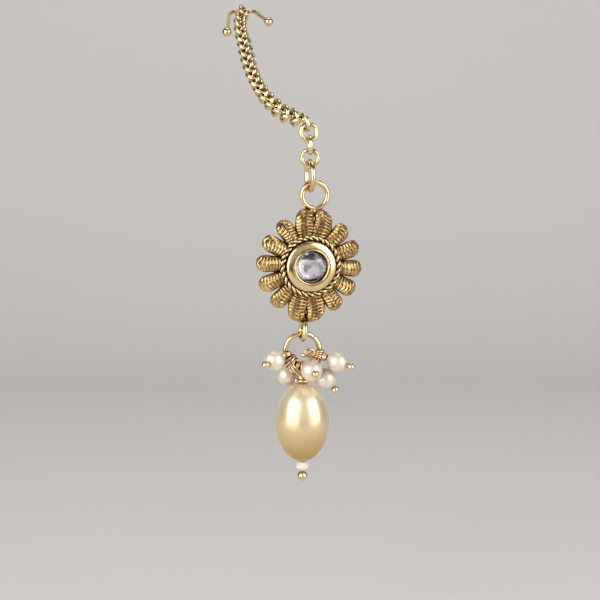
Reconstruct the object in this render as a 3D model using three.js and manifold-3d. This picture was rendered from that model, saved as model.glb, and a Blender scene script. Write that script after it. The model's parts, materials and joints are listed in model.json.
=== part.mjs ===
// A maang tikka: a hair hook, a chain, a flower medallion with a round stone, and a drop of pearls.
// Millimetres, +Z up. The wearer's forehead is behind the medallion, at +Y, and the jewel faces -Y.
// The origin is on the hook's wire at the middle of its bend, where the jewel is held in the hair.

import * as THREE from 'three';
import { mergeVertices } from 'three/addons/utils/BufferGeometryUtils.js';
import Module from 'manifold-3d';

// Hook
const hookWire = 1;
const hookWidth = 7.8;
const hookLongLeg = 16;
const hookShortLeg = 6.5;
const hookSplay = 2.6;
const hookBall = 2.4;

// Chain
const linkOuter = 4.7;
const linkWire = 0.95;
const linkFuse = 0.085;
const chainGap = 0.2;
const chainReach = 92.2;
const chainFall = 33.4;
const longestStep = 0.2;
// Where the chain lies on the head its links stand edgewise, at this angle to the hanging ones.
const lyingTurn = 45;
const turningLinks = 8;
// The chain's route from the hook over the crown of the head and down to the pendant: how far it is to
// the side, then its share of the reach to the front, and of the fall.
const chainRoute = [
  [-0.8, 0.114, 0.088],
  [0.8, 0.293, 0.237],
  [2.5, 0.466, 0.382],
  [4.9, 0.629, 0.504],
  [7.8, 0.765, 0.591],
  [11.2, 0.873, 0.65],
  [13.7, 0.938, 0.665],
  [15.5, 0.984, 0.675],
  [16.5, 0.998, 0.72],
  [16.8, 1, 0.79],
  [16.8, 1, 0.89],
  [16.8, 1, 1],
];

// Rings that hang in each other
const ringGap = 0.2;
const pendantYaw = 13;
const jumpOuter = 7.6;
const jumpWire = 1.1;
const bailOuter = 6.9;
const bailWire = 1.15;
const bailLean = 45;
const loopOuter = 5.2;
const loopWire = 1.2;
const clusterOuter = 8.9;
const clusterWire = 1.15;

// Medallion
const medallionLean = 5;
const medallionSetBack = 0;
const petalCount = 14;
const petalStart = 5.4;
const petalTip = 12;
const pairTip = 12.7;
const petalWidth = 4.1;
const petalThick = 1.5;
const petalRise = 1.5;
const plateRadius = 8.1;
const plateThick = 1;
const bossWidth = 5.8;
const bossThick = 1.7;
const ropeRadius = 6.3;
const ropeWire = 1.3;
const ropeFront = 1.3;
const bezelOuter = 11.2;
const bezelOpening = 7.2;
const bezelHeight = 3.4;
const bezelFloor = 1.6;

// Stone
const stoneDiameter = 6.6;
const stoneTable = 3.9;
const stoneHeight = 1.5;
const stoneFacets = 16;
const stoneGap = 0.2;

// Small pearls on ball pins
const pearlDiameter = 4.8;
const pinWire = 0.6;
const pinBall = 1.8;
const boreGap = 0.2;
const beadGap = 0.15;
const neckWire = 1.5;
// Where each pin loops on the ring, how far it leans to the front, and how far off its pearl hangs.
const smallDrops = [
  { name: 'left', angle: 190.5, lean: 44, reach: 4.75 },
  { name: 'lower_left', angle: 247.5, lean: -54, reach: 4.85 },
  { name: 'front', angle: 287.5, lean: 87, reach: 3.85 },
  { name: 'lower_right', angle: 309, lean: 8, reach: 4.4 },
  { name: 'right', angle: 342, lean: 36, reach: 4.75 },
];

// Main drop
const mainPearlWidth = 12;
const mainPearlHeight = 17.9;
const mainPearlDrop = 12.3;
const mainWire = 0.8;
const mainNeck = 2;
const coilWidth = 3.4;
const coilHeight = 0.8;
const mainBall = 2.3;
const tipBeadWidth = 2.9;
const tipBeadHeight = 2.3;

// Facets
const linkSides = 10;
const wireSides = 6;
const ringSides = 20;
const roundSides = 28;
const hookSides = 8;
const hookSteps = 26;
const petalSides = 8;
const pearlSides = 14;
const pearlSteps = 9;

const gold = new THREE.MeshStandardMaterial({ color: '#c9a765', roughness: 0.32, metalness: 1 });
const wireGold = new THREE.MeshStandardMaterial({ color: '#d1a25c', roughness: 0.3, metalness: 1 });
const whitePearl = new THREE.MeshStandardMaterial({ color: '#ece6da', roughness: 0.3, metalness: 0 });
const creamPearl = new THREE.MeshStandardMaterial({ color: '#e6d2ac', roughness: 0.28, metalness: 0 });
const whiteBead = new THREE.MeshStandardMaterial({ color: '#f3efe6', roughness: 0.6, metalness: 0 });
const glass = new THREE.MeshStandardMaterial({ color: '#c3bfca', roughness: 0.08, metalness: 0.4 });

const wasm = await Module();
wasm.setup();

const radians = THREE.MathUtils.degToRad;

// A geometry reduced to shared points and its real triangles, with its faces pointing out.
function closed(geometry) {
  const bare = geometry.clone();
  bare.deleteAttribute('normal');
  bare.deleteAttribute('uv');
  const merged = mergeVertices(bare, 1e-4);
  const points = merged.attributes.position;
  const corners = merged.index ? Array.from(merged.index.array) : [];
  const kept = [];
  let volume = 0;
  for (let i = 0; i < corners.length; i += 3) {
    const [a, b, c] = corners.slice(i, i + 3);
    if (a === b || b === c || c === a) continue;
    kept.push(a, b, c);
    const pa = new THREE.Vector3().fromBufferAttribute(points, a);
    const pb = new THREE.Vector3().fromBufferAttribute(points, b);
    const pc = new THREE.Vector3().fromBufferAttribute(points, c);
    volume += pa.dot(pb.cross(pc));
  }
  if (volume < 0) kept.reverse();
  merged.setIndex(kept);
  return merged;
}

function solidOf(geometry) {
  const merged = closed(geometry);
  const mesh = new wasm.Mesh({
    numProp: 3,
    vertProperties: new Float32Array(merged.attributes.position.array),
    triVerts: new Uint32Array(merged.index.array),
  });
  return new wasm.Manifold(mesh);
}

function geometryOf(solid) {
  const mesh = solid.getMesh();
  const geometry = new THREE.BufferGeometry();
  geometry.setAttribute('position', new THREE.BufferAttribute(mesh.vertProperties, 3));
  geometry.setIndex(new THREE.BufferAttribute(mesh.triVerts, 1));
  geometry.computeVertexNormals();
  return geometry;
}

function fused(geometries) {
  let whole = solidOf(geometries[0]);
  for (const geometry of geometries.slice(1)) {
    whole = whole.add(solidOf(geometry));
  }
  return geometryOf(whole);
}

function piece(name, geometry, material) {
  const mesh = new THREE.Mesh(geometry, material);
  mesh.name = name;
  return mesh;
}

// A wire ring round the X, Y or Z axis.
function wireRing(outer, wire, axis, sides = ringSides) {
  const ring = new THREE.TorusGeometry((outer - wire) / 2, wire / 2, wireSides, sides);
  if (axis === 'x') ring.rotateY(Math.PI / 2);
  if (axis === 'y') ring.rotateX(Math.PI / 2);
  return ring;
}

// A turned shape round the Z axis, from its radii and heights.
function turned(profile, sides = ringSides) {
  const points = profile.map(([radius, height]) => new THREE.Vector2(radius, height));
  return new THREE.LatheGeometry(points, sides).rotateX(Math.PI / 2);
}

function ball(diameter, sides = 10) {
  return new THREE.SphereGeometry(diameter / 2, sides, Math.round(sides * 0.6)).rotateX(Math.PI / 2);
}

// A bead drilled along Z.
function drilled(width, height, bore, sides, steps) {
  const edge = Math.acos(bore / width);
  const profile = [];
  for (let i = 0; i <= steps; i += 1) {
    const angle = edge * (2 * i / steps - 1);
    profile.push([width / 2 * Math.cos(angle), height / 2 * Math.sin(angle)]);
  }
  profile[0][0] = bore / 2;
  profile[steps][0] = bore / 2;
  profile.push(profile[0].slice());
  return turned(profile, sides);
}

// Hook: one wire bent to a U, lying back along the hair, with a ball on each end.
function hookGeometry(slope) {
  const half = hookWidth / 2;
  const spine = [
    new THREE.Vector3(-half, -half - hookLongLeg, 0),
    new THREE.Vector3(-half, -half - hookLongLeg / 2, 0),
  ];
  for (let step = 0; step <= hookSides; step += 1) {
    const angle = Math.PI * (1 - step / hookSides);
    spine.push(new THREE.Vector3(half * Math.cos(angle), half * (Math.sin(angle) - 1), 0));
  }
  spine.push(new THREE.Vector3(half + hookSplay, -half - hookShortLeg, 0));
  const path = new THREE.CatmullRomCurve3(spine);
  const round = new THREE.EllipseCurve(0, 0, hookWire / 2, hookWire / 2);
  const section = new THREE.Shape(round.getPoints(hookSides));
  const wire = new THREE.ExtrudeGeometry(section, { steps: hookSteps, extrudePath: path });
  const ends = [spine[0], spine[spine.length - 1]];
  const balls = ends.map((end) => ball(hookBall).translate(end.x, end.y, end.z));
  return fused([wire, ...balls]).rotateX(slope);
}

// Chain: round links, each at right angles to the next and hooked through it.
const linkMean = (linkOuter - linkWire) / 2;
const linkPitch = 2 * (linkMean - linkWire / 2) + linkFuse;
const linkEnd = linkMean - linkPitch / 2;
const chainStart = new THREE.Vector3(0, (hookWire + linkWire) / 2 + chainGap - linkEnd, 0);
const routePoints = chainRoute.map(([side, ahead, fall]) => {
  return new THREE.Vector3(side, -ahead * chainReach, -fall * chainFall);
});
const route = new THREE.CatmullRomCurve3([chainStart, ...routePoints], false, 'catmullrom', 0.5);

// Points along the route, each one link pitch from the last in a straight line.
function linkJoints() {
  const joints = [route.getPoint(0)];
  let from = 0;
  while (from < 1) {
    let low = from;
    let high = Math.min(1, from + longestStep);
    if (route.getPoint(high).distanceTo(joints.at(-1)) < linkPitch) break;
    for (let i = 0; i < 40; i += 1) {
      const middle = (low + high) / 2;
      if (route.getPoint(middle).distanceTo(joints.at(-1)) < linkPitch) low = middle;
      else high = middle;
    }
    joints.push(route.getPoint(high));
    from = high;
  }
  return joints;
}

// How far a link is turned from hanging straight: edgewise on the head, and upright round the hook.
function linkTurn(order, last) {
  const upright = last % 2 === 1 ? 0 : 90;
  const fromPendant = Math.min(1, order / turningLinks);
  const toHook = Math.max(0, 1 - (last - order) / turningLinks);
  return radians(lyingTurn * fromPendant + (upright - lyingTurn) * toHook);
}

// Each link's centre and its turn, worked out from the pendant's end, where the last link faces the front.
function linkPlaces(joints) {
  const places = [];
  const across = new THREE.Vector3(1, 0, 0);
  let along = new THREE.Vector3(0, 0, 1);
  for (let i = joints.length - 1; i > 0; i -= 1) {
    const next = joints[i - 1].clone().sub(joints[i]).normalize();
    across.applyQuaternion(new THREE.Quaternion().setFromUnitVectors(along, next));
    along = next;
    const order = joints.length - 1 - i;
    const level = across.clone().applyAxisAngle(along, linkTurn(order, joints.length - 2));
    const side = order % 2 === 1 ? new THREE.Vector3().crossVectors(along, level) : level;
    const normal = new THREE.Vector3().crossVectors(along, side);
    const centre = joints[i].clone().add(joints[i - 1]).multiplyScalar(0.5);
    places.push(new THREE.Matrix4().makeBasis(along, side, normal).setPosition(centre));
  }
  return places;
}

const joints = linkJoints();
const places = linkPlaces(joints);
const links = places.map((place) => {
  return new THREE.TorusGeometry(linkMean, linkWire / 2, wireSides, linkSides).applyMatrix4(place);
});
const chain = fused(links);
const hang = joints.at(-1).clone();
hang.z -= linkEnd;

// Medallion: petals, plate, rope ring, bezel, bail ring and bottom loop, soldered into one.
// Each row is one section of a petal, as shares of its length, width, rise and thickness.
const petalSections = [
  { along: 0, width: 0.66, rise: 0.7, thick: 0.7 },
  { along: 0.3, width: 0.9, rise: 0.9, thick: 0.85 },
  { along: 0.5, width: 0.96, rise: 1, thick: 1 },
  { along: 0.78, width: 1, rise: 0.9, thick: 1 },
  { along: 0.93, width: 0.92, rise: 0.5, thick: 0.85 },
  { along: 1, width: 0.58, rise: 0.15, thick: 0.55 },
];

function petalGeometry(tip) {
  const rings = petalSections.length - 1;
  const petal = new THREE.CylinderGeometry(1, 1, rings, petalSides, rings);
  const points = petal.attributes.position;
  for (let i = 0; i < points.count; i += 1) {
    const section = petalSections[Math.round(points.getY(i) + rings / 2)];
    const x = points.getX(i) * section.width * petalWidth / 2;
    const y = -section.rise * petalRise - points.getZ(i) * section.thick * petalThick / 2;
    const z = petalStart + section.along * (tip - petalStart);
    points.setXYZ(i, x, y, z);
  }
  return petal;
}

function bezelGeometry() {
  const outer = bezelOuter / 2;
  const inner = bezelOpening / 2;
  const width = outer - inner;
  return turned([
    [0, -plateThick / 2],
    [outer, -plateThick / 2],
    [outer, bezelHeight - width * 0.45],
    [outer - width * 0.12, bezelHeight - width * 0.25],
    [inner + width * 0.15, bezelHeight],
    [inner, bezelHeight - width * 0.1],
    [inner, bezelFloor],
    [0, bezelFloor],
  ], roundSides).rotateX(Math.PI / 2);
}

const bailMean = (bailOuter - bailWire) / 2;
const loopMean = (loopOuter - loopWire) / 2;
const bailHeight = pairTip + bailMean;
const loopHeight = pairTip + loopMean;

function medallionGeometry() {
  const plate = new THREE.CylinderGeometry(plateRadius, plateRadius, plateThick, roundSides);
  const parts = [plate, bezelGeometry()];
  parts.push(wireRing(2 * ropeRadius + ropeWire, ropeWire, 'y', roundSides).translate(0, -ropeFront, 0));
  for (let i = 0; i < petalCount; i += 1) {
    const angle = 2 * Math.PI * (i + 0.5) / petalCount;
    const atPair = Math.abs(Math.cos(angle)) > Math.cos(2 * Math.PI / petalCount);
    parts.push(petalGeometry(atPair ? pairTip : petalTip).rotateY(angle));
  }
  for (const side of [1, -1]) {
    const boss = ball(1, 12).scale(bossWidth, bossThick, bossThick).translate(0, 0, side * pairTip);
    parts.push(boss);
  }
  const frame = fused(parts).translate(0, medallionSetBack, 0);
  const bail = wireRing(bailOuter, bailWire, 'y').translate(0, 0, bailHeight);
  const loop = wireRing(loopOuter, loopWire, 'x', 16).translate(0, 0, -loopHeight);
  return fused([frame, bail, loop]);
}

function stoneGeometry() {
  const radius = stoneDiameter / 2;
  return turned([
    [0, 0],
    [radius * 0.8, 0],
    [radius, stoneHeight * 0.4],
    [radius, stoneHeight * 0.55],
    [stoneTable / 2, stoneHeight],
    [0, stoneHeight],
  ], stoneFacets).rotateX(Math.PI / 2);
}

// A pin hanging from its loop at the origin, down -Z: loop, wound neck, shaft and ball.
function pinGeometry(around, wire, neck, neckEnd, beadEnd, ballSize, collar) {
  const mean = around / 2 + ringGap + wire / 2;
  const loop = wireRing(2 * mean + wire, wire, 'y', 12);
  const ballEdge = Math.sqrt(ballSize ** 2 - wire ** 2) / 2;
  const centre = beadEnd - beadGap - ballSize / 2;
  const profile = [[0, centre - ballSize / 2]];
  for (const angle of [-55, -20, 15]) {
    const turn = radians(angle);
    profile.push([ballSize / 2 * Math.cos(turn), centre + ballSize / 2 * Math.sin(turn)]);
  }
  profile.push([wire / 2, centre + ballEdge]);
  profile.push([wire / 2, neckEnd]);
  if (collar) {
    profile.push([collar.width / 2, neckEnd]);
    profile.push([collar.width / 2, neckEnd + collar.height]);
    profile.push([neck / 2, neckEnd + collar.height]);
  } else {
    profile.push([neck / 2, neckEnd]);
  }
  profile.push([neck / 2, -mean]);
  profile.push([0, -mean]);
  return fused([loop, turned(profile, 10)]);
}

const jewel = new THREE.Group();
const start = route.getTangent(0);
jewel.add(piece('hook', hookGeometry(Math.atan2(-start.z, -start.y)), gold));
jewel.add(piece('chain', chain, gold));

// Everything below the chain hangs from the last link's lower wire.
const pendant = new THREE.Group();
pendant.position.copy(hang);
pendant.rotation.z = radians(pendantYaw);
jewel.add(pendant);

const jumpMean = (jumpOuter - jumpWire) / 2;
const jumpCentre = (linkWire + jumpWire) / 2 + ringGap - jumpMean;
const jumpRing = piece('jump_ring', wireRing(jumpOuter, jumpWire, 'x'), gold);
jumpRing.position.z = jumpCentre;
pendant.add(jumpRing);

// The bail ring hangs on the jump ring's lower wire, a little round from its top.
const bailPivot = jumpCentre - jumpMean;
const bailDrop = bailMean - (jumpWire + bailWire) / 2 - ringGap;
const medallionGroup = new THREE.Group();
const lean = radians(medallionLean);
const bailX = bailDrop * Math.sin(radians(bailLean));
const bailZ = bailPivot - bailDrop * Math.cos(radians(bailLean));
medallionGroup.position.set(bailX - bailHeight * Math.sin(lean), 0, bailZ - bailHeight * Math.cos(lean));
medallionGroup.rotation.y = lean;
medallionGroup.add(piece('medallion', medallionGeometry(), gold));
const stone = piece('centre_stone', closed(stoneGeometry()), glass);
stone.position.y = medallionSetBack - bezelFloor - stoneGap;
medallionGroup.add(stone);
pendant.add(medallionGroup);

// The cluster ring hangs on the medallion's bottom loop.
const drop = new THREE.Group();
const loopPivot = loopHeight + loopMean;
const clusterMean = (clusterOuter - clusterWire) / 2;
drop.position.copy(medallionGroup.position);
drop.position.x -= loopPivot * Math.sin(lean);
drop.position.z -= loopPivot * Math.cos(lean);
drop.position.z += (loopWire + clusterWire) / 2 + ringGap - clusterMean;
pendant.add(drop);
drop.add(piece('cluster_ring', wireRing(clusterOuter, clusterWire, 'y', 24), gold));

const pearlBore = pinWire + 2 * boreGap;
for (const row of smallDrops) {
  const holder = new THREE.Group();
  const angle = radians(row.angle);
  holder.position.set(clusterMean * Math.cos(angle), 0, clusterMean * Math.sin(angle));
  const leanShare = Math.cos(radians(row.lean));
  const down = new THREE.Vector3(
    Math.cos(angle) * leanShare, -Math.sin(radians(row.lean)), Math.sin(angle) * leanShare);
  const alongWire = new THREE.Vector3(-Math.sin(angle), 0, Math.cos(angle));
  const up = down.clone().negate();
  const side = new THREE.Vector3().crossVectors(alongWire, up);
  holder.quaternion.setFromRotationMatrix(new THREE.Matrix4().makeBasis(side, alongWire, up));
  const bead = drilled(pearlDiameter, pearlDiameter, pearlBore, pearlSides, pearlSteps);
  const pearl = piece(`pearl_${row.name}`, closed(bead), whitePearl);
  pearl.position.z = -row.reach;
  holder.add(pearl);
  const pearlEdge = Math.sqrt(pearlDiameter ** 2 - pearlBore ** 2) / 2;
  const pin = pinGeometry(
    clusterWire, pinWire, neckWire, -row.reach + pearlEdge + beadGap, -row.reach - pearlEdge, pinBall);
  holder.add(piece(`pin_${row.name}`, pin, wireGold));
  drop.add(holder);
}

// The main drop hangs on the cluster ring's lowest point and swings to front and back.
const mainDrop = new THREE.Group();
mainDrop.position.z = -clusterMean;
drop.add(mainDrop);
const mainBore = mainWire + 2 * boreGap;
const mainEdge = mainPearlHeight / 2 * Math.sqrt(1 - (mainBore / mainPearlWidth) ** 2);
const mainPearl = piece(
  'main_pearl', closed(drilled(mainPearlWidth, mainPearlHeight, mainBore, 20, 14)), creamPearl);
mainPearl.position.z = -mainPearlDrop;
mainDrop.add(mainPearl);
const tipBead = piece('tip_bead', closed(drilled(tipBeadWidth, tipBeadHeight, mainBore, 14, 7)), whiteBead);
const tipEdge = tipBeadHeight / 2 * Math.sqrt(1 - (mainBore / tipBeadWidth) ** 2);
tipBead.position.z = -mainPearlDrop - mainEdge - beadGap - tipEdge;
mainDrop.add(tipBead);
const mainPin = pinGeometry(
  clusterWire, mainWire, mainNeck, -mainPearlDrop + mainEdge + beadGap,
  tipBead.position.z - tipEdge, mainBall, { width: coilWidth, height: coilHeight });
mainDrop.add(piece('main_pin', mainPin.rotateZ(Math.PI / 2), wireGold));

export default jewel;
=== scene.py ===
# %% [markdown]
# # A maang tikka, dressed in Blender
# The construction is already fixed: every ring, pearl and link has its place and size in the packed
# model. This script loads that model as a frame and builds the surfaces that make it a jewel: round
# wire, ribbed petals, a twisted rope edge, a stone over foil and pearls with a soft lustre.

# %% Load the frame
import json
import math

import bpy
import numpy as np
from mathutils import Matrix, Quaternion, Vector


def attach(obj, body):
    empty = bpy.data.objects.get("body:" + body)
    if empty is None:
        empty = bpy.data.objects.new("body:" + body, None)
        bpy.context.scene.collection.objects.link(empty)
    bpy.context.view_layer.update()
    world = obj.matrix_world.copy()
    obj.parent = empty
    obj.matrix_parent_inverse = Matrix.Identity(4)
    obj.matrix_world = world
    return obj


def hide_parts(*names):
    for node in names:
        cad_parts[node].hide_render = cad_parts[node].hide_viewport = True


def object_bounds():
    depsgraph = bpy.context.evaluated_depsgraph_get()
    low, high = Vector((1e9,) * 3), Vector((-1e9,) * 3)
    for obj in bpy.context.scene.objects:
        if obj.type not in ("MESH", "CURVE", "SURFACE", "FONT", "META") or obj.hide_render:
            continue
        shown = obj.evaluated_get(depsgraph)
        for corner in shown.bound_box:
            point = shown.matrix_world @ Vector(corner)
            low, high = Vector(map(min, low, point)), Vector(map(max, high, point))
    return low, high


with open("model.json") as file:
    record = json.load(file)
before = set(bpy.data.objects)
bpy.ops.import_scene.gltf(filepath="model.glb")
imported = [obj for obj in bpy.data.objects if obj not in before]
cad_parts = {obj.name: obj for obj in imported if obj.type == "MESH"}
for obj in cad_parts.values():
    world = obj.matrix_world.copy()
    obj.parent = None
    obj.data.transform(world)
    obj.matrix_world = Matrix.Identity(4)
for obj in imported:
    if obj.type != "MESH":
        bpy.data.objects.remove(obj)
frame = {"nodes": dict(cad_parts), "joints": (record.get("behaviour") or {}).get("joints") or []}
cad_low, cad_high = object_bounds()
cad_size = [round(1000 * s, 1) for s in cad_high - cad_low]
print("frame nodes:", len(frame["nodes"]), "size in mm:", cad_size)

# %% [markdown]
# ## The camera and the light
# A jewel this small is seen from close by, so the camera stands 45 cm away and looks a little down on
# it. The view is 133 mm wide there. Gold and pearl show what they reflect. Two large windows of light
# stand in front, left and right, because they give the large pearl its two upright highlights. A weak
# fill between them and a small lamp above soften the shadows. The room itself stays dim, so that every
# ring has a bright side and a dark line. The plain Standard view keeps the yellow of the gold, which a
# filmic view would wash out.

# %% Camera at the photograph's angle
MM = 0.001
VIEW_DISTANCE = 450 * MM
VIEW_WIDTH = 133.3 * MM
VIEW_DOWN = math.radians(9)
LOOK_AT = Vector((14.6, -92.2, -62.2)) * MM
SENSOR_WIDTH = 36

camera_data = bpy.data.cameras.new("camera")
camera_data.sensor_width = SENSOR_WIDTH
camera_data.lens = SENSOR_WIDTH * VIEW_DISTANCE / VIEW_WIDTH
camera_data.clip_start = 0.01
camera = bpy.data.objects.new("camera", camera_data)
bpy.context.scene.collection.objects.link(camera)
forward = Vector((0, math.cos(VIEW_DOWN), -math.sin(VIEW_DOWN)))
camera.location = LOOK_AT - forward * VIEW_DISTANCE
camera.rotation_euler = (math.radians(90) - VIEW_DOWN, 0, 0)
bpy.context.scene.camera = camera
print("camera lens:", round(camera_data.lens, 1), "mm")


# %% Lamps and room
ROOM_COLOUR, ROOM_STRENGTH = (0.85, 0.86, 0.88, 1), 0.11


def soft_lamp(name, place, size, power, colour):
    """A rectangle of light in metres and watts that faces the point the camera looks at."""
    lamp = bpy.data.lights.new(name, "AREA")
    lamp.shape = "RECTANGLE"
    lamp.size, lamp.size_y = size
    lamp.energy = power
    lamp.color = colour
    lamp_object = bpy.data.objects.new(name, lamp)
    lamp_object.location = place
    lamp_object.rotation_euler = (LOOK_AT - Vector(place)).to_track_quat("-Z", "Y").to_euler()
    bpy.context.scene.collection.objects.link(lamp_object)


soft_lamp("left window", (-0.43, -0.53, 0.11), (0.66, 0.66), 5.4, (1, 0.97, 0.92))
soft_lamp("right window", (0.54, -0.42, 0.11), (0.52, 0.62), 3.7, (1, 0.98, 0.95))
soft_lamp("front fill", (0.135, -0.66, 0.12), (0.55, 0.45), 0.3, (1, 0.98, 0.94))
soft_lamp("top", (0.05, 0.05, 0.55), (0.5, 0.35), 1.0, (1, 1, 1))

world = bpy.data.worlds.new("room")
world.use_nodes = True
world.node_tree.nodes["Background"].inputs["Color"].default_value = ROOM_COLOUR
world.node_tree.nodes["Background"].inputs["Strength"].default_value = ROOM_STRENGTH
bpy.context.scene.world = world
bpy.context.scene.view_settings.view_transform = "Standard"

# %% [markdown]
# ## A mesh from rows of points
# Almost everything here is a wire, a turned shape or a petal. All three are a grid of points that is
# closed round one way, so one small helper turns a grid into faces. Pieces are gathered as pairs of
# points and faces in millimetres, then joined and turned into metres once.


# %% Grids, joins and objects
def grid_faces(rows, columns, loop_rows=False):
    """Four-sided faces between rows of points that are each closed into a circle."""
    faces = []
    for r in range(rows if loop_rows else rows - 1):
        for c in range(columns):
            a, b = r * columns + c, r * columns + (c + 1) % columns
            d, e = (r + 1) % rows * columns + c, (r + 1) % rows * columns + (c + 1) % columns
            faces.append((a, b, e, d))
    return faces


def capped(points, columns):
    """Closes both ends of a grid with one face each."""
    rows = len(points) // columns
    faces = grid_faces(rows, columns)
    faces.append(tuple(range(columns))[::-1])
    faces.append(tuple(range((rows - 1) * columns, rows * columns)))
    return np.asarray(points, float), faces


def placed(shape, matrix):
    points, faces = shape
    turn = np.array(matrix.to_3x3())
    return points @ turn.T + np.array(matrix.translation), faces


def joined(shapes):
    points, faces, start = [], [], 0
    for shape_points, shape_faces in shapes:
        points.append(shape_points)
        faces += [tuple(start + i for i in face) for face in shape_faces]
        start += len(shape_points)
    return np.vstack(points), faces


def jewel_piece(name, shapes, materials, body, nodes, sharp=50):
    """One object from a list of shapes for each material, riding on a body in place of CAD nodes."""
    lists = shapes if isinstance(shapes[0], list) else [shapes]
    points, faces = joined([shape for group in lists for shape in group])
    mesh = bpy.data.meshes.new(name)
    mesh.from_pydata((points * MM).tolist(), [], faces)
    for material in materials:
        mesh.materials.append(material)
    indices = []
    for number, group in enumerate(lists):
        indices += [number] * sum(len(shape_faces) for _, shape_faces in group)
    mesh.polygons.foreach_set("material_index", indices)
    mesh.polygons.foreach_set("use_smooth", [True] * len(faces))
    mesh.update()
    mesh.set_sharp_from_angle(angle=math.radians(sharp))
    thing = bpy.data.objects.new(name, mesh)
    bpy.context.scene.collection.objects.link(thing)
    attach(thing, body)
    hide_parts(*nodes)
    print(name, "faces:", len(faces))
    return thing


# %% [markdown]
# ## Wire
# Wire is a circle carried along a line. The circle must not spin as the line bends, so each step turns
# it by the least that the bend asks for. On a closed ring the small turn left over at the end is spread
# back along the whole ring, so that no facet line jumps at the seam.


# %% Wire along a line
CUT_EDGE = 0.86


def wire(line, radius, sides=12, loop=False):
    line = np.asarray(line, float)
    radii = np.broadcast_to(radius, len(line))
    ahead = np.roll(line, -1, 0) - np.roll(line, 1, 0)
    if not loop:
        ahead[0], ahead[-1] = line[1] - line[0], line[-1] - line[-2]
    ahead /= np.linalg.norm(ahead, axis=1)[:, None]
    side = Vector(ahead[0]).orthogonal().normalized()
    sides_found = [side]
    for before, after in zip(ahead, ahead[1:]):
        side = Vector(before).rotation_difference(Vector(after)) @ side
        sides_found.append(side.normalized())
    drift = 0
    if loop:
        last = Vector(ahead[-1]).rotation_difference(Vector(ahead[0])) @ sides_found[-1]
        drift = math.atan2(last.cross(sides_found[0]).dot(Vector(ahead[0])), last.dot(sides_found[0]))
    points = []
    for number, (centre, way, across, r) in enumerate(zip(line, ahead, sides_found, radii)):
        spin = drift * number / len(line)
        up = np.cross(way, across)
        for corner in range(sides):
            angle = 2 * math.pi * corner / sides + spin
            points.append(centre + r * (math.cos(angle) * np.array(across) + math.sin(angle) * up))
    if loop:
        return np.array(points), grid_faces(len(line), sides, True)
    return capped(points, sides)


def ring(outer, thick, axis, steps=72, sides=16):
    """A round ring of wire, its hole along the X, Y or Z axis."""
    mean = (outer - thick) / 2
    angles = np.linspace(0, 2 * math.pi, steps, endpoint=False)
    a, b, none = mean * np.cos(angles), mean * np.sin(angles), np.zeros(steps)
    line = {"x": (none, a, b), "y": (b, none, a), "z": (a, b, none)}[axis]
    return wire(np.stack(line, 1), thick / 2, sides, True)


def cut_ring(outer, thick, axis, cut_at, gap=0.10, steps=90, sides=16):
    """A ring bent from wire, with the fine cut left where its two ends meet."""
    mean = (outer - thick) / 2
    half = gap / mean / 2
    angles = np.linspace(cut_at + half, cut_at + 2 * math.pi - half, steps)
    radii = np.full(steps, thick / 2)
    radii[[0, -1]] *= CUT_EDGE
    a, b, none = mean * np.sin(angles), mean * np.cos(angles), np.zeros(steps)
    line = {"x": (none, a, b), "y": (a, none, b)}[axis]
    return wire(np.stack(line, 1), radii, sides)


# %% [markdown]
# ## Turned shapes
# A bezel, a pearl or a ball is a profile turned round an axis. A drilled pearl's profile comes back to
# its own start through the hole, so it closes with no end faces.


# %% Turned shapes and balls
HAIR = 0.004


def turned(profile, sides=64, closed=False):
    """A profile of (radius, height) turned round Z. A point on the axis gets a hair's radius."""
    points = []
    for radius, height in profile:
        reach = max(radius, HAIR)
        for corner in range(sides):
            angle = 2 * math.pi * corner / sides
            points.append((reach * math.cos(angle), reach * math.sin(angle), height))
    if closed:
        return np.array(points), grid_faces(len(profile), sides, True)
    return capped(points, sides)


def ball(diameter, sides=28):
    steps = sides // 2
    angles = [math.pi * (i / steps - 0.5) for i in range(steps + 1)]
    return turned([(diameter / 2 * math.cos(a), diameter / 2 * math.sin(a)) for a in angles], sides)


def drilled_bead(width, height, bore, sides=56, steps=40):
    """A round or long bead from one rim of its hole to the other, closed through the hole."""
    edge = math.acos(bore / width)
    angles = [edge * (2 * i / steps - 1) for i in range(steps + 1)]
    profile = [(width / 2 * math.cos(a), height / 2 * math.sin(a)) for a in angles]
    return turned(profile, sides, True)


turn_to_front = Matrix.Rotation(math.radians(90), 4, "X")


# %% [markdown]
# ## The gold
# The metal is pale, slightly brassy gold that has worn bright on its high places, with painted shade in
# its folds and hollows. Three things colour it: a slow noise for uneven plating, painted shade where a
# fold is occluded or the surface dips into a hollow, and the sharpness of a rim, where it is rubbed
# bright. Roughness follows the same noise, so that no reflection is perfectly even. Constants are set on
# the shader.


# %% Nodes for the finishes
def mixed(nodes, links, factor, first, second):
    """A colour between two, where each is a socket or a plain colour."""
    mix = nodes.new("ShaderNodeMix")
    mix.data_type = "RGBA"
    links.new(factor, mix.inputs["Factor"])
    for socket, value in zip((mix.inputs[6], mix.inputs[7]), (first, second)):
        if isinstance(value, tuple):
            socket.default_value = (*value, 1)
        else:
            links.new(value, socket)
    return mix.outputs[2]


def ranged(nodes, links, value, low, high, start=0, end=1):
    """A socket's range from low to high mapped to start and end."""
    span = nodes.new("ShaderNodeMapRange")
    span.inputs["From Min"].default_value = low
    span.inputs["From Max"].default_value = high
    span.inputs["To Min"].default_value = start
    span.inputs["To Max"].default_value = end
    links.new(value, span.inputs["Value"])
    return span.outputs["Result"]


def noise(nodes, links, scale, detail):
    place = nodes.new("ShaderNodeTexCoord")
    cloud = nodes.new("ShaderNodeTexNoise")
    cloud.inputs["Scale"].default_value = scale
    cloud.inputs["Detail"].default_value = detail
    links.new(place.outputs["Object"], cloud.inputs["Vector"])
    return cloud.outputs["Fac"]


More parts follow.
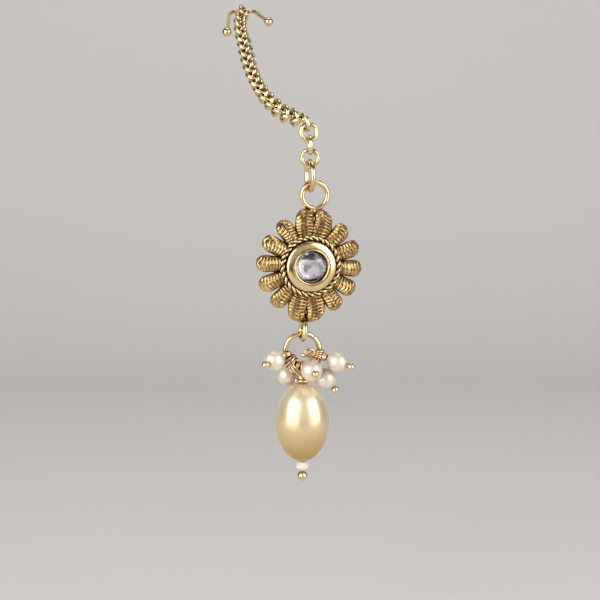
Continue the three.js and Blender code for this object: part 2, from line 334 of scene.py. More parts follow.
def bumped(nodes, links, height, strength, depth):
    bump = nodes.new("ShaderNodeBump")
    bump.inputs["Strength"].default_value = strength
    bump.inputs["Distance"].default_value = depth * MM
    links.new(height, bump.inputs["Height"])
    links.new(bump.outputs["Normal"], nodes["Principled BSDF"].inputs["Normal"])


def new_finish(name):
    material = bpy.data.materials.new(name)
    material.use_nodes = True
    nodes = material.node_tree.nodes
    return material, nodes, material.node_tree.links, nodes["Principled BSDF"]


def height_range(nodes, links, low, high):
    """From 0 to 1 between two heights in millimetres."""
    place = nodes.new("ShaderNodeTexCoord")
    height = nodes.new("ShaderNodeSeparateXYZ")
    links.new(place.outputs["Object"], height.inputs["Vector"])
    return ranged(nodes, links, height.outputs["Z"], low * MM, high * MM)


# %% Gold finishes
RUBBED_RIM = (0.98, 0.83, 0.54)


def gold_finish(name, bright, dull, shade, roughness, grain, grain_size, reach, hollows):
    """Gold whose folds go to a painted shade colour within reach, and its hollows by the share given."""
    material, nodes, links, shader = new_finish(name)
    shader.inputs["Metallic"].default_value = 1
    plating = noise(nodes, links, 420, 4)
    plated = mixed(nodes, links, ranged(nodes, links, plating, 0.35, 0.65), dull, bright)

    # Painted shade: where the occlusion finds a fold within reach, the colour goes to the shade colour.
    fold_occlusion = nodes.new("ShaderNodeAmbientOcclusion")
    fold_occlusion.samples = 6
    fold_occlusion.inputs["Distance"].default_value = reach * MM
    painted_fold_shade = mixed(nodes, links, ranged(nodes, links, fold_occlusion.outputs["AO"], 0.5, 1), shade, plated)
    # More painted shade in the hollows, where the surface dips inwards, by the share given.
    surface = nodes.new("ShaderNodeNewGeometry")
    painted_hollow_shade = ranged(nodes, links, surface.outputs["Pointiness"], 0.44, 0.50, hollows, 0)
    painted_fold_shade = mixed(nodes, links, painted_hollow_shade, painted_fold_shade, shade)
    rims = ranged(nodes, links, surface.outputs["Pointiness"], 0.52, 0.60, 0, 0.6)
    links.new(mixed(nodes, links, rims, painted_fold_shade, RUBBED_RIM), shader.inputs["Base Color"])

    wear = ranged(nodes, links, plating, 0.3, 0.7, roughness * 0.75, roughness * 1.35)
    links.new(wear, shader.inputs["Roughness"])
    bumped(nodes, links, noise(nodes, links, grain_size, 3), grain, 0.06)
    return material


# Each shade colour below is the painted shade for the folds and hollows.
polished_gold = gold_finish(
    "polished gold", bright=(0.86, 0.68, 0.37), dull=(0.74, 0.54, 0.25), shade=(0.14, 0.07, 0.02),
    roughness=0.17, grain=0.15, grain_size=1500, reach=0.8, hollows=0)
worked_gold = gold_finish(
    "worked gold", bright=(0.90, 0.66, 0.31), dull=(0.60, 0.39, 0.14), shade=(0.07, 0.03, 0.008),
    roughness=0.25, grain=0.35, grain_size=2400, reach=1.4, hollows=0.88)
wound_gold = gold_finish(
    "wound gold", bright=(0.92, 0.62, 0.33), dull=(0.78, 0.47, 0.20), shade=(0.12, 0.04, 0.01),
    roughness=0.22, grain=0.2, grain_size=1800, reach=0.6, hollows=0)
print("gold finishes:", polished_gold.name, worked_gold.name, wound_gold.name)

# %% [markdown]
# ## Pearl
# A pearl has a satin body that mirrors softly, and a clear shine over it. Its satin is closer to metal
# than to paint, so the shader is part metallic, which also makes the edges go deep and warm as on the
# real ones. A thin coat gives the crisper window on top of the blurred one. The large pearl is cream,
# with painted shade that makes it darker and warmer towards the lower end. The small ones are ivory, and
# the bead under the large one is plain matt white.


# %% Pearl finishes
COAT_ROUGHNESS = 0.2


def pearl_finish(name, light, warm, roughness, coat, satin, milky, painted_shade_below=None):
    """Pearl in two clouded colours, with painted shade between two heights towards a third colour."""
    material, nodes, links, shader = new_finish(name)
    shader.inputs["Metallic"].default_value = satin
    shader.inputs["Subsurface Weight"].default_value = milky
    shader.inputs["Subsurface Radius"].default_value = (1.0, 0.75, 0.55)
    shader.inputs["Subsurface Scale"].default_value = 0.6 * MM
    shader.inputs["Coat Weight"].default_value = coat
    shader.inputs["Coat Roughness"].default_value = COAT_ROUGHNESS
    cloud = noise(nodes, links, 160, 3)
    body = mixed(nodes, links, ranged(nodes, links, cloud, 0.3, 0.7), warm, light)
    # Painted shade: between the two heights the body goes towards a darker, warmer colour lower down.
    if painted_shade_below:
        start, end, colour = painted_shade_below
        body = mixed(nodes, links, height_range(nodes, links, start, end), body, colour)
    links.new(body, shader.inputs["Base Color"])
    satin_range = ranged(nodes, links, cloud, 0.3, 0.7, roughness * 1.15, roughness * 0.85)
    links.new(satin_range, shader.inputs["Roughness"])
    return material


ivory_pearl = pearl_finish("ivory pearl", light=(0.80, 0.73, 0.63), warm=(0.70, 0.62, 0.51),
                           roughness=0.40, coat=0.28, satin=0.45, milky=0)
# The cream pearl carries painted shade towards its lower end.
cream_pearl = pearl_finish("cream pearl", light=(0.86, 0.75, 0.55), warm=(0.81, 0.68, 0.45),
                           roughness=0.31, coat=0.4, satin=0.50, milky=0,
                           painted_shade_below=(-84, -98, (0.47, 0.30, 0.06)))
matt_bead = pearl_finish("matt bead", light=(0.74, 0.68, 0.60), warm=(0.68, 0.61, 0.52),
                         roughness=0.6, coat=0.0, satin=0.0, milky=0.2)
print("pearl finishes:", ivory_pearl.name, cream_pearl.name, matt_bead.name)

# %% [markdown]
# ## Where things hang
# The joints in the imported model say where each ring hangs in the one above. Each place below is worked
# out from those points, the ring sizes of the construction and the gap of 0.2 mm between hung wires.

# %% Hanging places
HANGING_GAP = 0.2
LINK_OUTER, LINK_WIRE = 4.7, 0.95
JUMP_OUTER, JUMP_WIRE = 7.6, 1.1
BAIL_OUTER, BAIL_WIRE = 6.9, 1.15
LOOP_OUTER, LOOP_WIRE = 5.2, 1.2
CLUSTER_OUTER, CLUSTER_WIRE = 8.9, 1.15
PENDANT_YAW, MEDALLION_LEAN = math.radians(13), math.radians(5)
PAIR_TIP = 12.7

pivots = {joint["child"]: Vector(joint["pos_m"]) / MM for joint in frame["joints"]}
yaw = Matrix.Rotation(PENDANT_YAW, 4, "Z")


def mean_radius(outer, thick):
    return (outer - thick) / 2


def hung(child, fall, upper_wire, lower_wire):
    """The frame of a ring whose wire hangs on the wire at the joint, its centre that far below."""
    drop = fall - (upper_wire + lower_wire) / 2 - HANGING_GAP
    return Matrix.Translation(pivots[child]) @ yaw @ Matrix.Translation((0, 0, -drop))


jump_place = hung("jump_ring", mean_radius(JUMP_OUTER, JUMP_WIRE), LINK_WIRE, JUMP_WIRE)
loop_reach = PAIR_TIP + 2 * mean_radius(LOOP_OUTER, LOOP_WIRE)
medallion_place = (Matrix.Translation(pivots["pearl_cluster"]) @ yaw
                   @ Matrix.Rotation(MEDALLION_LEAN, 4, "Y") @ Matrix.Translation((0, 0, loop_reach)))
cluster_place = hung("pearl_cluster", mean_radius(CLUSTER_OUTER, CLUSTER_WIRE), LOOP_WIRE, CLUSTER_WIRE)
drop_place = Matrix.Translation(pivots["pearl_drop"]) @ yaw
print("medallion centre in mm:", [round(v, 2) for v in medallion_place.translation])

# %% [markdown]
# ## The chain
# The chain is round links, each at right angles to the next. A real chain lies as its links let it, so
# the links are placed the way a hand would lay them: each one starts where the last one ended, and all
# of them follow one curve from the hook over the head and down to the pendant. Where the chain lies on
# the head its links stand edgewise, at 45 degrees to the hanging ones, so that every link shows its rim,
# and round the hook they stand upright again. They are drawn a little finer than in the construction.

# %% The route and its curve
CHAIN_GAP, LINK_FUSE, HOOK_WIRE = 0.2, 0.085, 1.0
CHAIN_REACH, CHAIN_FALL = 92.2, 33.4
LYING_TURN, TURNING_LINKS = 45, 8
LINK_EASE = (0.98, 0.95, 0.98)
CHAIN_ROUTE = [
    (-0.8, 0.114, 0.088),
    (0.8, 0.293, 0.237),
    (2.5, 0.466, 0.382),
    (4.9, 0.629, 0.504),
    (7.8, 0.765, 0.591),
    (11.2, 0.873, 0.65),
    (13.7, 0.938, 0.665),
    (15.5, 0.984, 0.675),
    (16.5, 0.998, 0.72),
    (16.8, 1, 0.79),
    (16.8, 1, 0.89),
    (16.8, 1, 1),
]
route_points = [(side, -ahead * CHAIN_REACH, -fall * CHAIN_FALL) for side, ahead, fall in CHAIN_ROUTE]
link_mean = mean_radius(LINK_OUTER, LINK_WIRE)
link_end = (LINK_WIRE - LINK_FUSE) / 2
link_pitch = 2 * (link_mean - link_end)
chain_start = (0, (HOOK_WIRE + LINK_WIRE) / 2 + CHAIN_GAP - link_end, 0)
route = np.array([chain_start, *route_points], float)
route = np.vstack([2 * route[0] - route[1], route, 2 * route[-1] - route[-2]])


def on_route(share):
    """The point at a share of the way along a smooth curve through the route's points."""
    spans = len(route) - 3
    span = min(int(share * spans), spans - 1)
    t = share * spans - span
    a, b, c, d = route[span:span + 4]
    bent = b + t * (c - a) / 2 + t * t * (a - 2.5 * b + 2 * c - d / 2)
    return bent + t ** 3 * (1.5 * (b - c) + (d - a) / 2)


# %% Links laid one after another
def link_joints():
    """The points where one link hooks through the next, each one pitch from the last."""
    joints, share = [on_route(0)], 0
    while share < 1:
        low, high = share, min(1, share + 0.2)
        if np.linalg.norm(on_route(high) - joints[-1]) < link_pitch:
            break
        for _ in range(40):
            middle = (low + high) / 2
            if np.linalg.norm(on_route(middle) - joints[-1]) < link_pitch:
                low = middle
            else:
                high = middle
        joints.append(on_route(high))
        share = high
    return joints


def link_turn(order, last):
    """How far a link is turned from hanging straight: edgewise on the head, upright round the hook."""
    upright = 0 if last % 2 else 90
    from_pendant = min(1, order / TURNING_LINKS)
    to_hook = max(0, 1 - (last - order) / TURNING_LINKS)
    return math.radians(LYING_TURN * from_pendant + (upright - LYING_TURN) * to_hook)


joints = link_joints()
plain_link = placed(ring(LINK_OUTER, LINK_WIRE, "z", 40, 12), Matrix.Diagonal((*LINK_EASE, 1)))
links, across, along = [], Vector((1, 0, 0)), Vector((0, 0, 1))
for number, (lower, upper) in enumerate(zip(joints[::-1], joints[-2::-1])):
    onward = Vector(upper - lower).normalized()
    across = along.rotation_difference(onward) @ across
    along = onward
    level = Quaternion(along, link_turn(number, len(joints) - 2)) @ across
    side = along.cross(level) if number % 2 else level
    turn = Matrix((along, side, along.cross(side))).transposed().to_4x4()
    links.append(placed(plain_link, Matrix.Translation((lower + upper) / 2) @ turn))
jewel_piece("chain_links", links, [polished_gold], "hook_and_chain", ["chain"])
print("links:", len(links), "pitch in mm:", round(link_pitch, 2))

# %% [markdown]
# ## The hook
# The hook is one wire bent to a U that slides into the hair, with a ball melted on each end so that it
# doesn't scratch. It lies in the slope of the chain's first stretch.

# %% The hook
HOOK_WIDTH, HOOK_LONG_LEG, HOOK_SHORT_LEG, HOOK_SPLAY, HOOK_BALL = 7.8, 16, 6.5, 2.6, 2.4
half = HOOK_WIDTH / 2
bend = [(half * math.cos(a), half * (math.sin(a) - 1), 0) for a in np.linspace(math.pi, 0, 33)]
long_leg = [(-half, -half - HOOK_LONG_LEG * s, 0) for s in np.linspace(1, 0.05, 14)]
short_leg = [(half + HOOK_SPLAY * s, -half - HOOK_SHORT_LEG * s, 0) for s in np.linspace(0.1, 1, 10)]
first_way = on_route(0.001) - on_route(0)
slope = Matrix.Rotation(math.atan2(-first_way[2], -first_way[1]), 4, "X")
hook_shapes = [wire(long_leg + bend + short_leg, HOOK_WIRE / 2, 16)]
hook_shapes += [placed(ball(HOOK_BALL), Matrix.Translation(end)) for end in (long_leg[0], short_leg[-1])]
jewel_piece("hair_hook", [placed(s, slope) for s in hook_shapes], [polished_gold],
            "hook_and_chain", ["hook"])

# %% [markdown]
# ## The jump ring and the cluster ring
# Both are bent from wire, so each keeps the fine cut where its ends were closed. The jump ring's cut is
# at its side, away from what hangs on it, and the cluster ring's is high up beside the loop.

# %% Two bent rings
jump = placed(cut_ring(JUMP_OUTER, JUMP_WIRE, "x", math.radians(80)), jump_place)
jewel_piece("jump_ring_wire", [jump], [polished_gold], "jump_ring", ["jump_ring"])
cluster = placed(cut_ring(CLUSTER_OUTER, CLUSTER_WIRE, "y", math.radians(40)), cluster_place)
jewel_piece("cluster_ring_wire", [cluster], [polished_gold], "pearl_cluster", ["cluster_ring"])

# %% [markdown]
# ## The petals
# Each petal is cast with fine ribs laid across it, as if wire had been wound round a leaf. It rises from
# under the rope edge, crests near two thirds of its length and curls back at a round tip. Six sections
# shape it, a smooth curve joins them, and the ribs are real relief. The two petals of each pair are
# fuller, and their tips are drawn together.

# %% Petal sections
PETAL_COUNT, PETAL_START, PETAL_TIP = 14, 5.4, 12
PETAL_WIDTH, PETAL_THICK, PETAL_RISE = 4.1, 1.5, 1.5
RIB_PITCH, RIB_DEPTH, RIB_BOW, RIB_WANDER, GRANULE = 0.72, 0.34, 0.8, 0.1, 0.9
ROUND_FROM, WIDEST_AT, SLIMMER, DOME, EDGE_LIFT = 0.73, 0.78, 0.93, 0.35, 0.3
PAIR_PULL, PAIR_SWELL = 0.75, 0.2
sections = {
    "along": (0, 0.3, 0.5, 0.78, 0.93, 1),
    "width": (0.66, 0.9, 0.96, 1, 0.92, 0.58),
    "rise": (0.7, 0.9, 1, 0.9, 0.5, 0.15),
    "thick": (0.7, 0.85, 1, 1, 0.85, 0.55),
}


def smooth_between(kind, share):
    """A section value between the given ones, on a curve with no corners."""
    x, y = np.array(sections["along"]), np.array(sections[kind])
    slopes = np.gradient(y, x)
    i = min(int(np.searchsorted(x, share, "right")) - 1, len(x) - 2)
    step = x[i + 1] - x[i]
    t = (share - x[i]) / step
    return ((1 + 2 * t) * (1 - t) ** 2 * y[i] + t * (1 - t) ** 2 * step * slopes[i]
            + t * t * (3 - 2 * t) * y[i + 1] + t * t * (t - 1) * step * slopes[i + 1])


# %% One ribbed petal
def petal(tip, pull, rows=88, front_columns=42, back_columns=10):
    """Many points on the ribbed front, few on the plain back, and the tip pulled to one side."""
    front_angles = np.linspace(0, math.pi, front_columns, endpoint=False)
    back_angles = np.linspace(math.pi, 2 * math.pi, back_columns, endpoint=False)
    length, points = tip - PETAL_START, []
    breadth = PETAL_WIDTH / 2 * (1 if pull else SLIMMER)
    for share in np.linspace(0, 1, rows):
        end = math.sqrt(max(0, 1 - max(0, (share - ROUND_FROM) / (1 - ROUND_FROM)) ** 2))
        width = smooth_between("width", min(share, WIDEST_AT)) * breadth * (0.1 + 0.9 * end)
        if pull:
            width *= 1 + PAIR_SWELL * math.exp(-((share - 0.42) / 0.16) ** 2)
        thick = smooth_between("thick", share) * PETAL_THICK / 2 * (0.4 + 0.6 * end)
        rise = smooth_between("rise", share) * PETAL_RISE
        aside = pull * max(0, (share - 0.5) / 0.5) ** 1.5
        for angle in (*front_angles, *back_angles):
            x, front = math.cos(angle), math.sin(angle)
            wander = RIB_WANDER * math.sin(2.3 * x * width + 5 * share + length)
            along = share * length + RIB_BOW * x * x * share + wander
            rib = (0.5 + 0.5 * math.cos(2 * math.pi * along / RIB_PITCH)) ** 1.2
            granule = abs(math.cos(math.pi * x * width / GRANULE))
            fade = min(1, share / 0.15) * max(0, front) ** 0.4
            lift = RIB_DEPTH * (rib * (0.65 + 0.35 * granule) - 0.66) * fade
            dome = thick * (1 + DOME * min(1, share / 0.5) ** 2 if front > 0 else 1)
            y = -rise - (dome + lift) * front + EDGE_LIFT * x * x
            points.append((x * width + aside, y, PETAL_START + share * length))
    return capped(points, front_columns + back_columns)


petals = []
for number in range(PETAL_COUNT):
    angle = 2 * math.pi * (number + 0.5) / PETAL_COUNT
    at_pair = abs(math.cos(angle)) > math.cos(2 * math.pi / PETAL_COUNT)
    towards_partner = -PAIR_PULL * math.copysign(1, math.sin(2 * angle)) if at_pair else 0
    tip = PAIR_TIP if at_pair else PETAL_TIP
    petals.append(placed(petal(tip, towards_partner), Matrix.Rotation(angle, 4, "Y")))
print("petals:", len(petals))

# %% [markdown]
# ## The rope edge
# Round the bezel lies a rope of two wires twisted together. Each wire goes round in the rope's circle
# and, much faster, round the circle of its partner, so a line with both turns gives the strand.

# %% Rope, bezel and plate
ROPE_RADIUS, ROPE_THICK, ROPE_FRONT, ROPE_TURNS = 6.3, 1.3, 1.65, 14
ROPE_SWING, ROPE_STRAND = 0.25, 0.27
BEZEL_OUTER, BEZEL_OPENING, BEZEL_HEIGHT, BEZEL_FLOOR = 11.2, 7.2, 3.4, 1.6
PLATE_RADIUS, PLATE_THICK, PLATE_EDGE = 8.1, 1, 0.15


def rope_strand(start):
    """One of the rope's two wires, begun at a given angle of the twist."""
    around = np.linspace(0, 2 * math.pi, 560, endpoint=False)
    twist = ROPE_TURNS * around + start
    swing = ROPE_THICK * ROPE_SWING
    radius = ROPE_RADIUS + swing * np.cos(twist)
    front = -ROPE_FRONT - swing * np.sin(twist)
    line = np.stack((radius * np.sin(around), front, radius * np.cos(around)), 1)
    return wire(line, ROPE_THICK * ROPE_STRAND, 10, True)


def bezel():
    """A cup with a sloping rim and a fine bead round its opening, from the back to the stone's floor."""
    outer, inner, top = BEZEL_OUTER / 2, BEZEL_OPENING / 2, BEZEL_HEIGHT
    profile = [(0, -PLATE_THICK / 2), (outer - 0.1, -PLATE_THICK / 2), (outer, 0), (outer, top - 1.0)]
    profile += [(outer - 0.03, top - 0.8), (outer - 0.12, top - 0.64), (outer - 0.3, top - 0.52)]
    profile += [(inner + 0.62, top - 0.2), (inner + 0.5, top - 0.22), (inner + 0.44, top - 0.3)]
    for step in range(9):
        a = math.pi * step / 8
        profile.append((inner + 0.22 + 0.2 * math.cos(a), top - 0.2 + 0.2 * math.sin(a)))
    profile += [(inner, top - 0.4), (inner, BEZEL_FLOOR + 0.05)]
    profile += [(inner - 0.05, BEZEL_FLOOR), (0, BEZEL_FLOOR)]
    return placed(turned(profile, 112), turn_to_front)


def plate():
    """The round plate behind the petals, with a small bevel."""
    half, wide = PLATE_THICK / 2, PLATE_RADIUS
    edge = [(wide - PLATE_EDGE, -half), (wide, -half + PLATE_EDGE)]
    edge += [(wide, half - PLATE_EDGE), (wide - PLATE_EDGE, half)]
    return placed(turned([(0, -half), *edge, (0, half)], 96), turn_to_front)


# %% [markdown]
# ## The medallion put together
# The petals, rope and plate are worked gold with painted shade in their folds. So is a small ribbed boss
# behind the tips of each pair, where the bail ring and the bottom loop are soldered on. The bezel and
# the two rings are smooth and polished. All of it is one soldered piece, so it is one object with two
# finishes.

# %% The medallion
BOSS_WIDTH, BOSS_DEPTH, BOSS_HEIGHT = 5.2, 1.5, 2.4
BOSS_BACK, BOSS_IN, BOSS_RIBS, BOSS_RELIEF = 0.1, 0.9, 7, 0.16
boss_profile = []
for a in np.linspace(-math.pi / 2, math.pi / 2, 70):
    ribbed = 1 - BOSS_RELIEF + BOSS_RELIEF * abs(math.cos(BOSS_RIBS * math.pi / 2 * math.sin(a)))
    boss_profile.append((ribbed * math.cos(a) / 2, math.sin(a) / 2))
lying = Matrix.Rotation(math.radians(90), 4, "Y")
boss_size = Matrix.Diagonal((BOSS_WIDTH, BOSS_DEPTH, BOSS_HEIGHT, 1))
worked = petals + [plate(), rope_strand(0), rope_strand(math.pi)]
for end in (PAIR_TIP - BOSS_IN, BOSS_IN - PAIR_TIP):
    boss = Matrix.Translation((0, BOSS_BACK, end)) @ boss_size @ lying
    worked.append(placed(turned(boss_profile, 28), boss))
bail_up = PAIR_TIP + mean_radius(BAIL_OUTER, BAIL_WIRE)
loop_down = -PAIR_TIP - mean_radius(LOOP_OUTER, LOOP_WIRE)
bail = placed(ring(BAIL_OUTER, BAIL_WIRE, "y"), Matrix.Translation((0, 0, bail_up)))
loop = placed(ring(LOOP_OUTER, LOOP_WIRE, "x"), Matrix.Translation((0, 0, loop_down)))
smooth = [bezel(), bail, loop]
groups = [[placed(shape, medallion_place) for shape in group] for group in (worked, smooth)]
jewel_piece("flower_medallion", groups, [worked_gold, polished_gold], "medallion", ["medallion"])

# %% [markdown]
# ## The stone
# A flat-backed round stone lies over silvery foil. It has a table on top and sixteen shallow facets
# round it. The foil under it is creased, so the light inside breaks up into grey streaks. Towards the
# top the foil carries a painted reflection: a dark band, as if a dark room above were mirrored in it.


# %% Glass and the foil under it
# The third colour is the dark of a painted reflection near the top of the foil.
FOIL_GREY, FOIL_SILVER, FOIL_PAINTED_REFLECTION = (0.50, 0.47, 0.52), (1, 0.99, 0.98), (0.05, 0.065, 0.06)


def stone_glass():
    material, nodes, links, shader = new_finish("clear stone")
    shader.inputs["Base Color"].default_value = (0.97, 0.96, 0.99, 1)
    shader.inputs["IOR"].default_value = 1.52
    shader.inputs["Transmission Weight"].default_value = 1
    ripple = noise(nodes, links, 260, 2)
    links.new(ranged(nodes, links, ripple, 0.3, 0.7, 0.01, 0.05), shader.inputs["Roughness"])
    bumped(nodes, links, ripple, 0.15, 0.05)
    return material


def silver_foil(dark_from, dark_to):
    """Creased foil with a painted dark reflection between two heights in millimetres."""
    material, nodes, links, shader = new_finish("silver foil")
    shader.inputs["Metallic"].default_value = 0.6
    shader.inputs["Roughness"].default_value = 0.35
    crease = noise(nodes, links, 560, 4)
    silver = mixed(nodes, links, ranged(nodes, links, crease, 0.42, 0.58), FOIL_GREY, FOIL_SILVER)
    # Painted reflection: the foil goes dark between the two heights, towards the top.
    painted_reflection = height_range(nodes, links, dark_from, dark_to)
    links.new(mixed(nodes, links, painted_reflection, silver, FOIL_PAINTED_REFLECTION), shader.inputs["Base Color"])
    bumped(nodes, links, crease, 0.6, 0.12)
    return material


# %% The stone over its foil
STONE_WIDTH, STONE_TABLE, STONE_HEIGHT, STONE_GAP = 6.6, 3.9, 1.5, 0.2
# Heights above the stone's middle where the painted dark reflection begins and where it is full.
REFLECTION_FROM, REFLECTION_TO = 1.3, 1.6
radius = STONE_WIDTH / 2
crown = [(0, 0.06), (radius * 0.8, 0.06), (radius, STONE_HEIGHT * 0.4), (radius, STONE_HEIGHT * 0.55),
         (STONE_TABLE / 2, STONE_HEIGHT), (0, STONE_HEIGHT)]
stone_seat = medallion_place @ Matrix.Translation((0, -BEZEL_FLOOR - STONE_GAP, 0)) @ turn_to_front
cut_stone = placed(turned(crown, 16), stone_seat)
dish = [(0, 0), (radius * 0.82, 0), (radius * 1.04, 0.56)]
dish += [(radius * 1.02, 0.58), (radius * 0.8, 0.03), (0, 0.045)]
foil_dish = placed(turned(dish, 48), stone_seat)
stone_middle = stone_seat.translation.z
stone_finishes = [stone_glass(), silver_foil(stone_middle + REFLECTION_FROM, stone_middle + REFLECTION_TO)]
jewel_piece("centre_stone_cut", [[cut_stone], [foil_dish]], stone_finishes, "medallion",
            ["centre_stone"], sharp=20)

# %% [markdown]
# ## Pins
# A ball pin goes up through its bead, twice round the ring, and its end is wound back down the neck and
# left as a small curl. The wire has gone orange where it was heated and bent, while the ball at the
# other end keeps the pale gold. It is one wire on the real thing, so it is one object with two finishes.


# %% A ball pin with its winding
PEARL, PIN_WIRE, PIN_BALL, BORE_GAP, BEAD_GAP, NECK = 4.8, 0.6, 1.8, 0.2, 0.15, 1.5
LOOP_SPREAD, COIL_FULL, COIL_WAVER, BORE_TIGHT = 1.35, 1.06, 0.22, 0.3
cluster_mean = mean_radius(CLUSTER_OUTER, CLUSTER_WIRE)


def wound_pin(around, thick, neck_wide, top, bead_end, ball_wide, turns, tail):
    """A pin hung at the origin: first its loops, winding and shaft, then its ball."""
    mean = around / 2 + HANGING_GAP + thick / 2
    loop = []
    for s in np.linspace(0, 1, 84):
        a, loose = 4 * math.pi * s, mean * (1 + 0.05 * math.sin(9 * s))
        loop.append((loose * math.sin(a), (s - 0.5) * thick * LOOP_SPREAD, -loose * math.cos(a)))
    coil_wire = (neck_wide - thick) / 4 * 1.1
    coil_radius = thick / 2 + coil_wire
    high, low = -mean - thick * 0.3, top + coil_wire
    coil = []
    for s in np.linspace(0, 1, int(26 * turns)):
        a, loose = 2 * math.pi * turns * s, COIL_FULL + COIL_WAVER * math.sin(4.4 * math.pi * s)
        x, y = coil_radius * loose * math.cos(a), coil_radius * loose * math.sin(a)
        coil.append((x, y, high + (low - high) * s))
    end = np.array(coil[-1])
    coil += [tuple(end + np.array(tail) * s) for s in (0.4, 0.8, 1)]
    ball_centre = bead_end - BEAD_GAP - ball_wide / 2
    shaft = [(0, 0, -mean + 0.05), (0, 0, (bead_end - mean) / 2), (0, 0, ball_centre)]
    wound = [wire(loop, thick / 2, 12), wire(coil, coil_wire, 10), wire(shaft, thick / 2, 12)]
    return wound, [placed(ball(ball_wide - 0.04), Matrix.Translation((0, 0, ball_centre)))]


# %% [markdown]
# ## Loose ends
# The real windings aren't tidy. Some wire is wound on round the cluster ring itself, two strands reach
# down to the large pearl, and a curl with a small bead on its end stands over the front pearl.


# %% Loose ends
WINDING, STRAND_WIRE, CURL_WIRE, CURL_BEAD, SOFTENING = PIN_WIRE * 0.42, 0.26, 0.29, 0.95, 14


def ring_winding(start, end, turns, loose=1.0):
    """Wire wound round the cluster ring between two places, given in degrees."""
    points = []
    for s in np.linspace(0, 1, int(24 * turns)):
        at, a = math.radians(start + (end - start) * s), 2 * math.pi * turns * s
        out = (CLUSTER_WIRE / 2 + WINDING) * loose * (1 + 0.14 * math.sin(7 * s))
        reach = cluster_mean + out * math.cos(a)
        points.append((reach * math.cos(at), out * math.sin(a), reach * math.sin(at)))
    return placed(wire(points, WINDING, 10), cluster_place)


def smooth_wire(corners, radius):
    """A wire bent softly through a few points of the cluster ring's own frame."""
    corners = np.array(corners, float)
    spans = np.linspace(0, len(corners) - 1, SOFTENING * len(corners))
    known = np.arange(len(corners))
    line = np.stack([np.interp(spans, known, corners[:, i]) for i in range(3)], 1)
    for _ in range(SOFTENING):
        line[1:-1] = (line[:-2] + 2 * line[1:-1] + line[2:]) / 4
    return placed(wire(line, radius, 10), cluster_place)


def front_curl():
    """The small curl over the front pearl, from its stem behind the pearl to the bead on its end."""
    line = [(1.3, -0.9, -3.3), (1.35, -1.3, -2.4), (1.5, -1.4, -1.5)]
    for s in np.linspace(0, 1, 24):
        a, r = math.radians(-80) + 2 * math.pi * 1.25 * s, 1.0 - 0.12 * s
        line.append((1.3 + 1.1 * r * math.cos(a), -1.45 - 0.25 * s, -0.3 + 0.8 * r * math.sin(a)))
    line += [(0.5, -1.8, -0.9), (-0.3, -1.7, -0.75)]
    bead = placed(ball(CURL_BEAD, 20), cluster_place @ Matrix.Translation(line[-1]))
    return smooth_wire(line, CURL_WIRE), bead


# %% [markdown]
# ## The small pearls
# Five small pearls crowd on the cluster ring. Each hangs on its own pin and points away from the ring's
# centre, some to the front and some behind, so that they make room for each other. A row gives the
# angle on the ring, the lean to the front and the reach. The windings are angles, turns and looseness.

# %% Five pearls on pins
SMALL_DROPS = {
    "left": (190.5, 44, 4.75),
    "lower_left": (247.5, -54, 4.85),
    "front": (287.5, 87, 3.85),
    "lower_right": (309, 8, 4.4),
    "right": (342, 36, 4.75),
}
RING_WINDINGS = {
    "left": [(200, 238, 4.5, 1.25), (204, 234, 2.6, 2.05)],
    "right": [(317, 333, 2.5, 1.2), (345, 358, 2, 1.1)],
}
STRAND = [(-3.2, -0.9, -2.5), (-2.6, -1.3, -3.8), (-1.5, -1.7, -4.9), (-0.5, -1.8, -5.6)]
SECOND_STRAND = [(x + 0.4, y + 0.1, z + 0.35) for x, y, z in STRAND]
SHORT_REACH, SHORT_TURNS, TURNS_FOR_REACH = 3.6, 2.4, 1.8
pearl_bore = PIN_WIRE + 2 * BORE_GAP
pearl_edge = math.sqrt(PEARL ** 2 - pearl_bore ** 2) / 2
for name, (angle, lean, reach) in SMALL_DROPS.items():
    angle, lean = math.radians(angle), math.radians(lean)
    out = Vector((math.cos(angle), 0, math.sin(angle)))
    down = out * math.cos(lean) + Vector((0, -math.sin(lean), 0))
    ring_way = Vector((-math.sin(angle), 0, math.cos(angle)))
    turn = Matrix((ring_way.cross(-down), ring_way, -down)).transposed().to_4x4()
    holder = cluster_place @ Matrix.Translation(out * cluster_mean) @ turn
    bead = drilled_bead(PEARL, PEARL, pearl_bore - BORE_TIGHT)
    bead = placed(bead, holder @ Matrix.Translation((0, 0, -reach)))
    jewel_piece(f"small_pearl_{name}", [bead], [ivory_pearl], "pearl_cluster",
                [f"pearl_{name}"])
    turns = SHORT_TURNS + (reach - SHORT_REACH) * TURNS_FOR_REACH
    wound, tip_ball = wound_pin(CLUSTER_WIRE, PIN_WIRE, NECK, -reach + pearl_edge + BEAD_GAP,
                                -reach - pearl_edge, PIN_BALL, turns, tail=(0.2, 0.15, 0.3))
    groups = [[placed(p, holder) for p in group] for group in (wound, tip_ball)]
    if name == "front":
        curl, curl_bead = front_curl()
        groups[0].append(curl)
        groups[1].append(curl_bead)
    if name == "lower_left":
        groups[0] += [smooth_wire(line, STRAND_WIRE) for line in (STRAND, SECOND_STRAND)]
    groups[0] += [ring_winding(*row) for row in RING_WINDINGS.get(name, [])]
    jewel_piece(f"ball_pin_{name}", groups, [wound_gold, polished_gold], "pearl_cluster",
                [f"pin_{name}"])

# %% [markdown]
# ## The large drop
# A long cream pearl hangs from a heavier pin. A flat coil of the same wire sits on top of it like a cap,
# and below come a matt white bead and a polished gold ball.

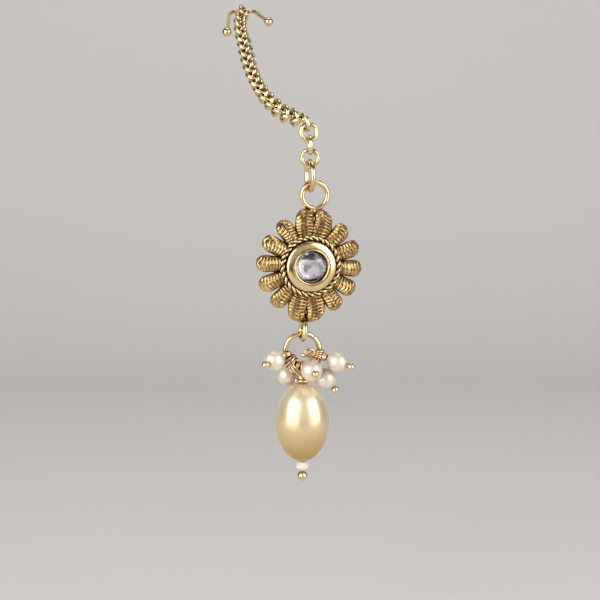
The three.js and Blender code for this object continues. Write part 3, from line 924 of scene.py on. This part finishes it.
# %% The large pearl, its bead and its pin
MAIN_WIDTH, MAIN_HEIGHT, MAIN_DROP, MAIN_WIRE, MAIN_NECK = 12, 17.9, 12.3, 0.8, 2
COIL_WIDTH, COIL_HEIGHT, MAIN_BALL, TIP_WIDTH, TIP_HEIGHT = 3.4, 0.8, 2.3, 2.9, 2.3
CAP_TURNS, CAP_SINK = 2.2, 0.18
main_bore = MAIN_WIRE + 2 * BORE_GAP
main_edge = MAIN_HEIGHT / 2 * math.sqrt(1 - (main_bore / MAIN_WIDTH) ** 2)
tip_edge = TIP_HEIGHT / 2 * math.sqrt(1 - (main_bore / TIP_WIDTH) ** 2)
tip_centre = -MAIN_DROP - main_edge - BEAD_GAP - tip_edge
large = placed(drilled_bead(MAIN_WIDTH, MAIN_HEIGHT, main_bore - BORE_TIGHT, 96, 80),
               drop_place @ Matrix.Translation((0, 0, -MAIN_DROP)))
jewel_piece("large_pearl", [large], [cream_pearl], "pearl_drop", ["main_pearl"])
tip = placed(drilled_bead(TIP_WIDTH, TIP_HEIGHT, main_bore - BORE_TIGHT, 48, 30),
             drop_place @ Matrix.Translation((0, 0, tip_centre)))
jewel_piece("white_tip_bead", [tip], [matt_bead], "pearl_drop", ["tip_bead"])

# %% The large pin with its coiled cap
neck_end = -MAIN_DROP + main_edge + BEAD_GAP
wound, tip_ball = wound_pin(CLUSTER_WIRE, MAIN_WIRE, MAIN_NECK, neck_end + COIL_HEIGHT - 0.2,
                            tip_centre - tip_edge, MAIN_BALL, turns=3.5, tail=(0, 0, 0.01))
cap_wire = COIL_HEIGHT * 0.4
cap = []
for s in np.linspace(0, 1, 80):
    spread = MAIN_WIRE / 2 + cap_wire + (COIL_WIDTH / 2 - MAIN_WIRE / 2 - 2 * cap_wire) * s
    a = 2 * math.pi * CAP_TURNS * s
    height = neck_end + COIL_HEIGHT - cap_wire - CAP_SINK * s
    cap.append((spread * math.cos(a), spread * math.sin(a), height))
wound.append(wire(cap, cap_wire, 12))
sideways = drop_place @ Matrix.Rotation(math.radians(90), 4, "Z")
groups = [[placed(p, sideways) for p in group] for group in (wound, tip_ball)]
jewel_piece("large_pin", groups, [wound_gold, polished_gold], "pearl_drop", ["main_pin"])

# %% [markdown]
# ## The floor
# The jewel hangs in the air, as it does when it is held by its hook. A pale sweep below and behind it
# gives it a quiet ground, with no edge where the floor turns up into the wall.


# %% Pale sweep
def pale_paint():
    material, nodes, links, shader = new_finish("pale sweep")
    shader.inputs["Roughness"].default_value = 0.9
    cloud = noise(nodes, links, 6, 3)
    paint = mixed(nodes, links, cloud, (0.70, 0.69, 0.68), (0.74, 0.73, 0.72))
    links.new(paint, shader.inputs["Base Color"])
    return material


FLOOR, WALL, WALL_TOP, CURVE, SIDE, FRONT = -0.15, 0.55, 0.6, 0.30, 0.9, -0.45
CURVE_STEPS = 16
profile = [(FRONT, FLOOR)]
for step in range(CURVE_STEPS + 1):
    a = math.pi / 2 * step / CURVE_STEPS
    profile.append((WALL - CURVE + CURVE * math.sin(a), FLOOR + CURVE * (1 - math.cos(a))))
profile.append((WALL, WALL_TOP))
sweep_points = [(x, y, z) for y, z in profile for x in (-SIDE, SIDE)]
sweep_faces = [(2 * i, 2 * i + 1, 2 * i + 3, 2 * i + 2) for i in range(len(profile) - 1)]
sweep_mesh = bpy.data.meshes.new("sweep")
sweep_mesh.from_pydata(sweep_points, [], sweep_faces)
sweep_mesh.polygons.foreach_set("use_smooth", [True] * len(sweep_faces))
sweep_mesh.materials.append(pale_paint())
sweep = bpy.data.objects.new("sweep", sweep_mesh)
bpy.context.scene.collection.objects.link(sweep)
